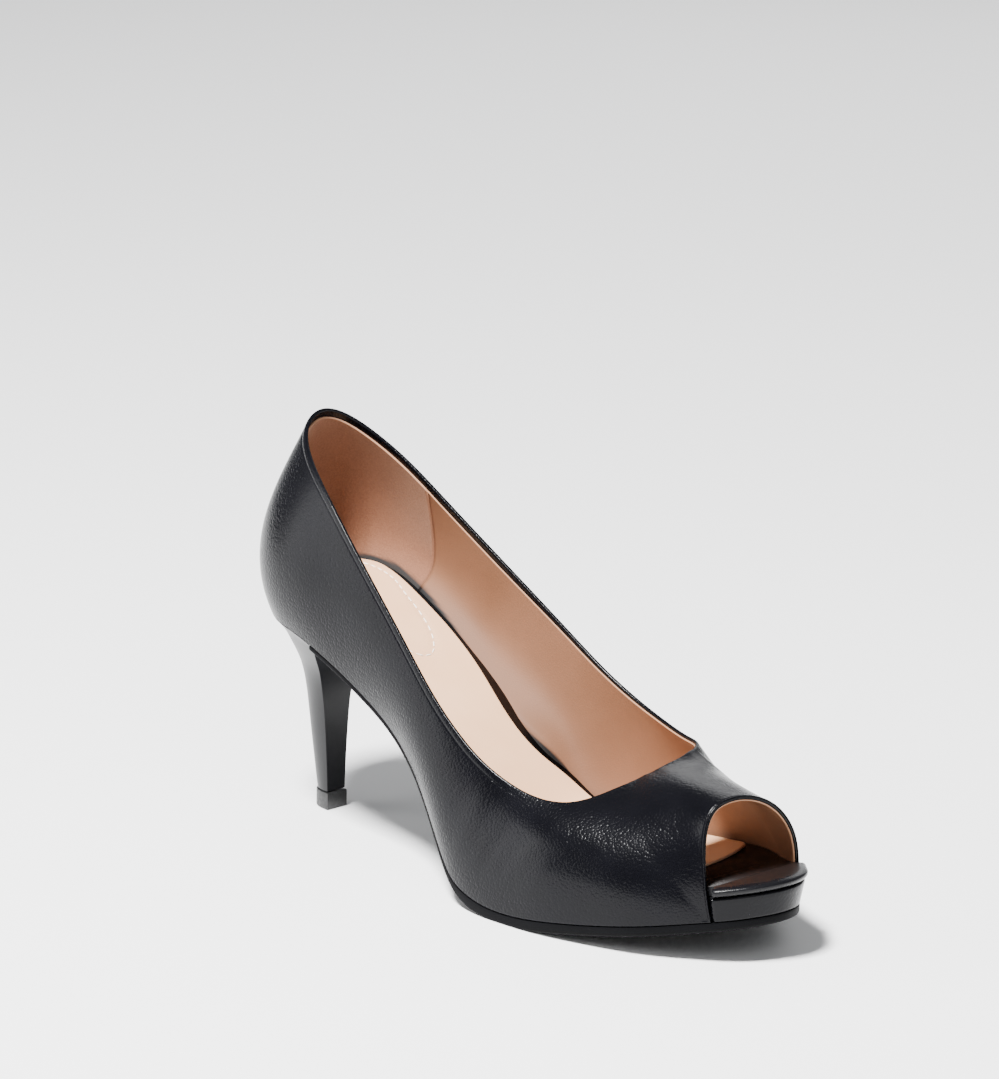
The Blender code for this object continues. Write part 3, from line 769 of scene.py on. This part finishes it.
class Nodes:
    """A node material in the making: short calls that add nodes and join them."""

    def __init__(self, name):
        self.material = bpy.data.materials.new(name)
        self.material.use_nodes = True
        self.tree = self.material.node_tree
        self.shader = self.tree.nodes["Principled BSDF"]
        self.place = self.add("ShaderNodeTexCoord").outputs["Object"]

    def add(self, kind, numbers=(), **settings):
        """A new node with its settings and pairs of an input's name and number."""
        node = self.tree.nodes.new(kind)
        for key, value in settings.items():
            setattr(node, key, value)
        for key, number in numbers:
            node.inputs[key].default_value = number
        return node

    def feed(self, value, socket):
        """A number, a colour or another node's output for a socket."""
        if isinstance(value, (int, float)):
            socket.default_value = value
        elif isinstance(value, tuple):
            socket.default_value = (*value, 1.0)
        else:
            self.tree.links.new(value, socket)

    def noise(self, scale, detail=3.0, rough=0.5):
        node = self.add("ShaderNodeTexNoise", (("Scale", scale), ("Detail", detail), ("Roughness", rough)))
        self.feed(self.place, node.inputs["Vector"])
        return node.outputs["Fac"]

    def cells(self, scale, feature="F1"):
        node = self.add("ShaderNodeTexVoronoi", [("Scale", scale)], feature=feature)
        self.feed(self.place, node.inputs["Vector"])
        return node.outputs["Distance"]

    def remap(self, value, low, high, to_low, to_high):
        numbers = (("From Min", low), ("From Max", high), ("To Min", to_low), ("To Max", to_high))
        node = self.add("ShaderNodeMapRange", numbers)
        self.feed(value, node.inputs["Value"])
        return node.outputs["Result"]

    def spread(self, noise, low, high):
        """A number that wanders between two with a noise."""
        return self.remap(noise, *NOISE_MIDDLE, low, high)

    def mottle(self, noise, first, second):
        """A colour that wanders between two with a noise."""
        return self.blend(self.spread(noise, 0.0, 1.0), first, second)

    def math(self, how, first, second):
        node = self.add("ShaderNodeMath", operation=how)
        for value, socket in zip((first, second), node.inputs):
            self.feed(value, socket)
        return node.outputs[0]

    def blend(self, factor, first, second):
        node = self.add("ShaderNodeMix", data_type="RGBA")
        self.feed(factor, node.inputs["Factor"])
        self.feed(first, node.inputs[MIX_FIRST])
        self.feed(second, node.inputs[MIX_SECOND])
        return node.outputs[MIX_RESULT]

    def attribute(self, name):
        return self.add("ShaderNodeAttribute", attribute_name=name).outputs["Fac"]

    def set(self, name, value):
        """A constant straight on one of the shader's sockets."""
        self.shader.inputs[name].default_value = value

    def colour(self, value):
        self.feed(value, self.shader.inputs["Base Color"])

    def roughness(self, value):
        self.feed(value, self.shader.inputs["Roughness"])

    def bump(self, heights):
        """Bumps laid over each other, from pairs of a height and its depth in millimetres."""
        normal = None
        for height, depth in heights:
            node = self.add("ShaderNodeBump", (("Strength", 1.0), ("Distance", depth * MM)))
            self.feed(height, node.inputs["Height"])
            if normal is not None:
                self.feed(normal, node.inputs["Normal"])
            normal = node.outputs["Normal"]
        self.feed(normal, self.shader.inputs["Normal"])


def black_leather(name, rough, grain=1.0):
    """Black leather with a pebbled grain of a given strength, uneven gloss and a thin finish coat."""
    made = Nodes(name)
    pebbles = made.cells(1180.0)
    fine = made.cells(2300.0)
    wrinkles = made.noise(420.0, 3.0, 0.55)
    patches = made.noise(55.0, 3.0, 0.6)
    made.colour(made.mottle(patches, LEATHER_TONE, tuple(part * 1.5 for part in LEATHER_TONE)))
    made.roughness(made.spread(patches, rough - 0.03, rough + 0.04))
    made.bump([(made.math("POWER", pebbles, 2.0), -0.1 * grain),
               (made.math("POWER", fine, 2.0), -0.022 * grain),
               (wrinkles, 0.05 * grain)])
    made.set("Coat Weight", 0.11)
    made.set("Coat Roughness", 0.22)
    made.set("Specular IOR Level", 0.07)
    return made.material


def smooth_lining():
    made = Nodes("front_lining")
    pores = made.cells(1700.0)
    cloud = made.noise(30.0, 3.0, 0.55)
    tan = made.mottle(cloud, (0.152, 0.07, 0.037), (0.19, 0.09, 0.05))
    faced = made.blend(made.attribute("rim"), tan, (0.36, 0.19, 0.11))
    made.colour(made.blend(made.attribute("foot"), faced, FOOT_TONE))
    made.roughness(made.spread(cloud, 0.58, 0.66))
    made.set("Specular IOR Level", 0.2)
    made.bump([(pores, 0.02), (made.noise(260.0), 0.03)])
    return made.material


def suede_lining():
    made = Nodes("heel_lining")
    nap = made.noise(1500.0, 4.0, 0.7)
    cloud = made.noise(45.0, 4.0, 0.6)
    base = made.mottle(cloud, (0.128, 0.048, 0.022), (0.168, 0.066, 0.031))
    brown = made.blend(made.remap(nap, 0.35, 0.7, 0.0, 0.55), base, (0.235, 0.1, 0.05))
    faced = made.blend(made.attribute("rim"), brown, (0.34, 0.17, 0.095))
    made.colour(made.blend(made.attribute("foot"), faced, FOOT_TONE))
    made.roughness(0.85)
    made.bump([(nap, 0.09), (made.noise(4200.0, 2.0, 0.6), 0.04)])
    made.set("Sheen Weight", 0.35)
    made.set("Sheen Roughness", 0.45)
    made.set("Sheen Tint", (0.95, 0.7, 0.52, 1.0))
    return made.material


def sock_leather():
    made = Nodes("sock_leather")
    cloud = made.noise(28.0, 3.0, 0.6)
    pores = made.cells(1500.0)
    cream = made.mottle(cloud, (0.71, 0.405, 0.225), (0.77, 0.46, 0.265))
    # The "edge" value darkens the cream: painted shade along the sock's edge and in the groove of the pad's
    # stitches
    made.colour(made.blend(made.attribute("edge"), cream, (0.62, 0.37, 0.23)))
    made.roughness(made.spread(cloud, 0.5, 0.6))
    made.bump([(pores, 0.015), (made.noise(500.0), 0.02)])
    return made.material


def thread_look():
    made = Nodes("thread")
    made.colour((0.95, 0.88, 0.78))
    made.roughness(made.spread(made.noise(4000.0), 0.5, 0.7))
    made.bump([(made.noise(5000.0), 0.03)])
    return made.material


def footbed_wrap():
    made = Nodes("footbed_wrap")
    cells = made.cells(1500.0, "DISTANCE_TO_EDGE")
    patches = made.noise(60.0, 3.0, 0.6)
    inside = made.mottle(patches, (0.0065, 0.0044, 0.0041), (0.0095, 0.0066, 0.0061))
    made.colour(made.blend(made.attribute("front"), inside, (0.0035, 0.0035, 0.0045)))
    made.roughness(made.math("SUBTRACT", made.spread(patches, 0.36, 0.44),
                             made.math("MULTIPLY", made.attribute("front"), 0.12)))
    made.bump([(made.remap(cells, 0.0, 0.16, 0.0, 1.0), 0.02), (made.noise(900.0, 2.0, 0.5), 0.025)])
    made.set("Coat Weight", 0.05)
    made.set("Coat Roughness", 0.18)
    made.set("Specular IOR Level", 0.14)
    return made.material


def sole_look():
    made = Nodes("outsole_look")
    cloud = made.noise(70.0, 4.0, 0.6)
    made.colour(made.mottle(cloud, (0.0014, 0.0014, 0.0018), (0.0024, 0.0024, 0.003)))
    made.roughness(made.spread(cloud, 0.5, 0.62))
    made.bump([(made.noise(1800.0, 3.0, 0.6), 0.03)])
    made.set("Specular IOR Level", 0.05)
    return made.material


def heel_look():
    made = Nodes("heel_look")
    cloud = made.noise(60.0)
    made.colour(made.mottle(cloud, (0.0025, 0.0025, 0.0034), (0.004, 0.004, 0.0052)))
    made.roughness(made.spread(cloud, 0.33, 0.4))
    made.bump([(made.cells(2300.0), 0.006), (made.noise(700.0, 2.0, 0.5), 0.014)])
    made.set("Coat Weight", 0.08)
    made.set("Coat Roughness", 0.2)
    made.set("Specular IOR Level", 0.17)
    return made.material


def tip_look():
    made = Nodes("tip_look")
    made.colour((0.005, 0.005, 0.0055))
    made.roughness(made.spread(made.noise(900.0), 0.42, 0.6))
    made.bump([(made.noise(2600.0), 0.03)])
    return made.material


# Pieces

def make_upper(columns, table, peep):
    rings = leather_rings(columns, table, peep)
    look = black_leather("upper_leather", 0.23)
    faces = ring_faces(len(rings), len(rings[0]), True)
    piece("upper_leather", np.vstack(rings), faces, look, ["upper"])


def lining_steps(columns, depth):
    """For every column, the step in plan that leads the lining's foot in to a gap from the sock."""
    wall = wall_run(columns, lambda x: footbed_height(x, 1.0), depth)
    apart = sock_loop(columns)[None] - wall[:, None]
    nearest = np.argmin((apart ** 2).sum(2), axis=1)
    step = apart[np.arange(len(wall)), nearest]
    distance = np.linalg.norm(step, axis=1)
    gap_x, gap = np.transpose(SOCK_GAP)
    reach = np.maximum(distance - np.interp(wall[:, 0], gap_x, gap), 0)
    reach = reach * smooth_step(LINING_SWEEP_END - wall[:, 0], 0, LINING_SWEEP_FADE)
    steps = np.zeros((len(columns.foot), 2))
    steps[:len(wall)] = step / np.maximum(distance, 1e-6)[:, None] * reach[:, None]
    turns = range(-LINING_SWEEP_EVEN, LINING_SWEEP_EVEN + 1)
    return sum(np.roll(steps, turn, axis=0) for turn in turns) / len(turns)


def make_lining(name, columns, table, peep, kept, inner_depth, look):
    """A thin closed shell on the kept columns, from near the foot, or the peep's rim, to the facing."""
    total = table[1][-1]
    facing_x, facing = np.transpose(FACING)
    low = LINING_FOOT + (PEEP_FACING - LINING_FOOT) * peep
    high = total - np.interp(columns.top[:, 0], facing_x, facing)
    thick = inner_depth - LINING_OUT
    rounded = [(LINING_ROUND * (1 - math.cos(turn)), LINING_OUT + thick * math.sin(turn))
               for turn in np.linspace(0, math.pi / 2, LINING_TURNS)]
    rows = [(high - down, depth, 1.0) for down, depth in rounded]
    rows += [(high - down, inner_depth, rim) for down, rim in TOP_RIM]
    for share in np.linspace(1, 0, LINING_INNER_ROWS)[1:-1]:
        rows.append((low + RIM_END + (high - RIM_END - low - RIM_END) * share, inner_depth, 0.0))
    rows += [(low + up, inner_depth, rim) for up, rim in FOOT_RIM]
    rows += [(low + up, depth, 1.0) for up, depth in reversed(rounded)]
    for share in np.linspace(0, 1, LINING_OUTER_ROWS)[1:-1]:
        rows.append((low + (high - low) * share, LINING_OUT, 0.0))
    rings = []
    rims = []
    feet = []
    steps = lining_steps(columns, inner_depth)[kept]
    dark_x, dark = np.transpose(LINING_DARK)
    under, over = LINING_DARK_EDGE
    for arc, depth, rim in rows:
        share = shares_at(table, arc)
        ring = wall_ring(columns, share, np.full((len(total), 1), depth))[kept]
        foot = np.zeros(len(kept))
        if depth > LINING_OUT + thick * INNER_FACE_SHARE:
            above = ring[:, 2] - seat_z(ring[:, 0]) - footbed_height(ring[:, 0], 1.0)
            sweep = np.exp(-(np.maximum(above, 0) / LINING_SWEEP) ** LINING_SWEEP_POWER)
            ring[:, :2] += steps * sweep[:, None]
            reach = np.interp(ring[:, 0], dark_x, dark)
            foot = (1 - smooth_step(above, reach - under, reach + over)) * (kept < columns.seat_count - 1)
        feet.append(foot)
        rings.append(ring)
        rims.append(np.full(len(kept), rim))
    count = len(kept)
    faces = ring_faces(len(rings), count, True, wrap_count=False)
    for side in (0, count - 1):
        faces.append(tuple(row * count + side for row in range(len(rings))))
    made = piece(name, np.vstack(rings), faces, look)
    mark(made, "rim", np.concatenate(rims))
    mark(made, "foot", np.concatenate(feet))


def strip_solid(levels):
    """A closed solid of crosswise strips; each level has stations x, outer y, inner y and z."""
    rings = []
    for i in range(len(levels[0][0])):
        ring = [(x[i], outer[i], z[i]) for x, outer, inner, z in levels]
        rings.append(ring + [(x[i], inner[i], z[i]) for x, outer, inner, z in reversed(levels)])
    return capped_stack(rings)


def make_platform(columns):
    rise = TOE_OVERHANG - FOOTBED_LIP
    levels = []
    for share in PLATFORM_SHARES:
        toe_out = rise * share - (PLATFORM_FOOT_CUT if share == 0 else 0)
        levels.append(layer_level(
            columns, lambda x: GAP / 2 + (platform_thick(x) - PLATFORM_ROUNDING) * share, toe_out))
    for turn in np.linspace(0, math.pi / 2, EDGE_TURNS):
        levels.append(layer_level(
            columns, lambda x: platform_thick(x) - PLATFORM_ROUNDING * (1 - math.sin(turn)),
            rise - PLATFORM_ROUNDING * (1 - math.cos(turn))))
    points, faces = strip_solid(levels)
    look = black_leather("platform_leather", 0.27, grain=0.6)
    piece("platform_wrap", points, faces, look, ["platform"], sharp=60)


def make_footbed(columns):
    levels = []
    radius = FOOTBED_THICK / 2
    for turn in np.linspace(-math.pi / 2, math.pi / 2, FOOTBED_TURNS):
        share = (1 + math.sin(turn)) / 2
        reach = FOOTBED_ROLL if turn > 0 else radius
        toe_out = TOE_OVERHANG - reach * (1 - math.cos(turn))
        levels.append(layer_level(columns, lambda x: footbed_height(x, share), toe_out))
    points, faces = strip_solid(levels)
    made = piece("footbed_wrap", points, faces, footbed_wrap(), ["footbed"])
    above = points[:, 2] - seat_z(points[:, 0]) - footbed_height(points[:, 0], FOOTBED_TOP_SHARE)
    mark(made, "front", np.where((above > 0) & (points[:, 0] > FOOTBED_BROWN_X), 0.0, 1.0))


def line_distance(points, line):
    """Distance in plan of each point from a line of points."""
    start = line[:-1]
    span = line[1:] - start
    length = np.maximum((span ** 2).sum(1), 1e-9)
    best = np.full(len(points), math.inf)
    for corner, along, size in zip(start, span, length):
        t = np.clip(((points - corner) @ along) / size, 0, 1)
        best = np.minimum(best, np.hypot(*(points - corner - t[:, None] * along).T))
    return best


def pad_run():
    """Line of stitches from the inner side round the front of the heel pad to the outer side."""
    line = np.array(PAD_LINE)
    knots = chord_knots(line)
    side = spline(knots, line, np.linspace(0, knots[-1], PAD_POINTS))
    return np.vstack([side, (side * [1, -1])[::-1]])


def sock_top(x):
    return seat_z(x) + footbed_height(x, 1.0) + GAP + SOCK_THICK


def make_sock(columns):
    x, outer, inner = sides(sock_loop(columns))
    share = (1 - np.cos(np.linspace(0, math.pi, SOCK_ACROSS))) / 2
    plan_x = np.repeat(x[:, None], SOCK_ACROSS, axis=1)
    plan_y = outer[:, None] + (inner - outer)[:, None] * share
    plan = np.stack([plan_x.ravel(), plan_y.ravel()], 1)
    edge = np.vstack([np.stack([x, outer], 1), np.stack([x, inner], 1)[::-1], [(x[0], outer[0])]])
    edge_away = line_distance(plan, edge)
    near = np.clip(SOCK_EDGE_ROUND - edge_away, 0, SOCK_EDGE_ROUND)
    drop = SOCK_EDGE_ROUND - np.sqrt(SOCK_EDGE_ROUND ** 2 - near ** 2)
    pad_away = line_distance(plan, pad_run())
    groove = PAD_GROOVE * bump_at(pad_away, 0.0, PAD_GROOVE_REACH)
    level = sock_top(plan[:, 0])
    upper_points = np.column_stack([plan, level - drop - groove])
    lower_points = np.column_stack([plan, level - SOCK_THICK])
    rows = len(x)
    base = rows * SOCK_ACROSS
    grid = ring_faces(rows, SOCK_ACROSS, False, wrap_count=False)
    faces = grid + [tuple(base + i for i in reversed(face)) for face in grid]
    borders = [(row * SOCK_ACROSS + side, (row + 1) * SOCK_ACROSS + side)
               for row in range(rows - 1) for side in (0, SOCK_ACROSS - 1)]
    borders += [(row * SOCK_ACROSS + i, row * SOCK_ACROSS + i + 1)
                for row in (0, rows - 1) for i in range(SOCK_ACROSS - 1)]
    faces += [(a, b, base + b, base + a) for a, b in borders]
    points = np.vstack([upper_points, lower_points])
    made = piece("sock_leather", points, faces, sock_leather(), ["sock"])
    # Painted shade for the material: darker near the sock's edge and along the groove of the pad's
    # stitches; the underside is fully darkened
    painted_shade = np.clip(1 - edge_away / SOCK_EDGE_SHADE, 0, 1)
    painted_shade += PAD_SHADE * bump_at(pad_away, 0.0, PAD_SHADE_REACH)
    mark(made, "edge", np.concatenate([painted_shade, np.ones(len(lower_points))]))


def stitch(centre, along, up):
    """Points and faces of one stitch with blunt ends."""
    across = np.cross(up, along)
    points = []
    for k in range(STITCH_STEPS):
        turn = math.pi * k / (STITCH_STEPS - 1)
        ring = math.sin(turn) ** STITCH_BLUNT if 0 < k < STITCH_STEPS - 1 else STITCH_TIP
        middle = centre - along * math.cos(turn) * STITCH_LENGTH / 2
        for i in range(STITCH_AROUND):
            spin = 2 * math.pi * i / STITCH_AROUND
            points.append(middle + across * math.cos(spin) * ring * STITCH_WIDTH / 2
                          + up * math.sin(spin) * ring * STITCH_WIDTH / 2)
    faces = ring_faces(STITCH_STEPS, STITCH_AROUND, False)
    faces.append(tuple(range(STITCH_AROUND)))
    faces.append(tuple(reversed(range(STITCH_AROUND * (STITCH_STEPS - 1), STITCH_AROUND * STITCH_STEPS))))
    return points, faces


def make_stitches():
    line = pad_run()
    run = chord_knots(line)

    def spot(at):
        x, y = points_at(at, run, line)
        return np.array([x, y, sock_top(x) - STITCH_SUNK])

    points = []
    faces = []
    for at in np.arange(STITCH_MARGIN, run[-1] - STITCH_MARGIN, STITCH_PITCH):
        centre = spot(at)
        along = unit(spot(at + STITCH_AHEAD) - centre)
        up = unit(np.cross(along, np.cross([0, 0, 1.0], along)))
        more, more_faces = stitch(centre, along, up)
        faces += [tuple(len(points) + i for i in face) for face in more_faces]
        points += more
    piece("pad_stitches", points, faces, thread_look())


def make_outsole(columns):
    feather = np.vstack([columns.foot[:columns.seat_count, :2], toe_run()])
    levels = []
    start = HEEL_TOP_X + GAP
    for turn in np.linspace(0, math.pi / 2, EDGE_TURNS):
        outline = sides(offset_run(feather, SOLE_ROUNDING * (1 - math.sin(turn))), start)
        levels.append((*outline, sole_z(outline[0]) + SOLE_ROUNDING * (1 - math.cos(turn))))
    outline = sides(feather, start)
    top = seat_z(outline[0]) - GAP / 2
    bottom = sole_z(outline[0]) + SOLE_ROUNDING
    levels += [(*outline, bottom + (top - bottom) * share) for share in SOLE_SHARES]
    levels.append((*sides(offset_run(feather, SOLE_TOP_INSET), start), top))
    points, faces = strip_solid(levels)
    piece("outsole_body", points, faces, sole_look(), ["outsole"], sharp=50)


def make_heel(columns):
    rows = np.array(HEEL_LEVELS)
    z = np.linspace(rows[0, 0], rows[-1, 0], HEEL_ROWS)
    sizes = spline(rows[:, 0], rows[:, 1:], z)
    rings = [heel_ring(height, *size) for height, size in zip(z, sizes)]
    seat = heel_seat_ring(columns)
    last, before = rings[-1], rings[-2]
    reach = np.linalg.norm(seat - last, axis=1)[:, None] * HEEL_BLEND_REACH
    middle = last + unit(last - before) * reach
    for t in np.linspace(0, 1, HEEL_BLEND_ROWS)[1:]:
        rings.append((1 - t) ** 2 * last + 2 * t * (1 - t) * middle + t * t * seat)
    points, faces = capped_stack(rings)
    piece("heel_body", points, faces, heel_look(), ["heel"], sharp=38)


def make_tip():
    rings = []
    for z, inset in TIP_LEVELS:
        rings.append(heel_ring(z, TIP_BACK_X + inset, TIP_BREAST_X - inset, TIP_HALF_WIDTH - inset))
    points, faces = capped_stack(rings)
    piece("heel_tip_rubber", points, faces, tip_look(), ["heel_tip"], sharp=38)


# Camera, floor and light

def make_camera():
    data = bpy.data.cameras.new("camera")
    made = new_object("camera", data)
    data.lens = CAMERA_LENS
    data.sensor_width = CAMERA_SENSOR
    data.clip_end = CAMERA_CLIP_END
    made.location = Vector((np.array(CAMERA_AT) + SHIFT) * MM)
    look = Vector((np.array(CAMERA_TO) + SHIFT) * MM) - made.location
    facing = look.to_track_quat("-Z", "Y")
    made.rotation_mode = "QUATERNION"
    made.rotation_quaternion = Quaternion(facing @ Vector((0, 0, 1)), math.radians(CAMERA_ROLL)) @ facing
    bpy.context.scene.camera = made


def make_floor():
    mesh = bpy.data.meshes.new("floor")
    corners = [(x * FLOOR_REACH, y * FLOOR_REACH, 0) for x, y in ((-1, -1), (1, -1), (1, 1), (-1, 1))]
    mesh.from_pydata(corners, [], [(0, 1, 2, 3)])
    look = Nodes("floor")
    look.colour(FLOOR_TONE)
    look.roughness(FLOOR_ROUGH)
    mesh.materials.append(look.material)
    made = new_object("floor", mesh)


def make_lights():
    for name, place, target, width, height, power in LIGHTS:
        data = bpy.data.lights.new(name, "AREA")
        data.shape = "RECTANGLE"
        data.size = width
        data.size_y = height
        data.energy = power
        made = new_object(name, data)
        made.location = place
        made.rotation_euler = (Vector(target) - made.location).to_track_quat("-Z", "Y").to_euler()
    world = bpy.data.worlds.new("studio")
    bpy.context.scene.world = world
    world.use_nodes = True
    sky = world.node_tree.nodes["Background"]
    sky.inputs["Color"].default_value = WORLD_TONE
    sky.inputs["Strength"].default_value = WORLD_STRENGTH


def peep_share(columns):
    """1 for the columns on the peep's edge and at its two feet, 0 for the rest."""
    share = np.zeros(len(columns.foot))
    share[columns.seat_count - 1:] = 1.0
    share[0] = 1.0
    return share


def lining_parts(columns):
    """The columns of the heel lining, and those of the front lining around to both its ends."""
    heel = np.where(columns.top[:columns.seat_count, 0] < HEEL_LINING_X)[0]
    count = len(columns.foot)
    return heel, np.arange(heel[-1], heel[0] + count + 1) % count


columns = upper_columns()
table = arc_table(columns)
peep = peep_share(columns)
heel_part, front_part = lining_parts(columns)

make_camera()
make_floor()
make_lights()
make_upper(columns, table, peep)
make_lining("heel_lining", columns, table, peep, heel_part, COUNTER_IN, suede_lining())
make_lining("front_lining", columns, table, peep, front_part, LINING_IN, smooth_lining())
make_footbed(columns)
make_sock(columns)
make_stitches()
make_platform(columns)
make_outsole(columns)
make_heel(columns)
make_tip()
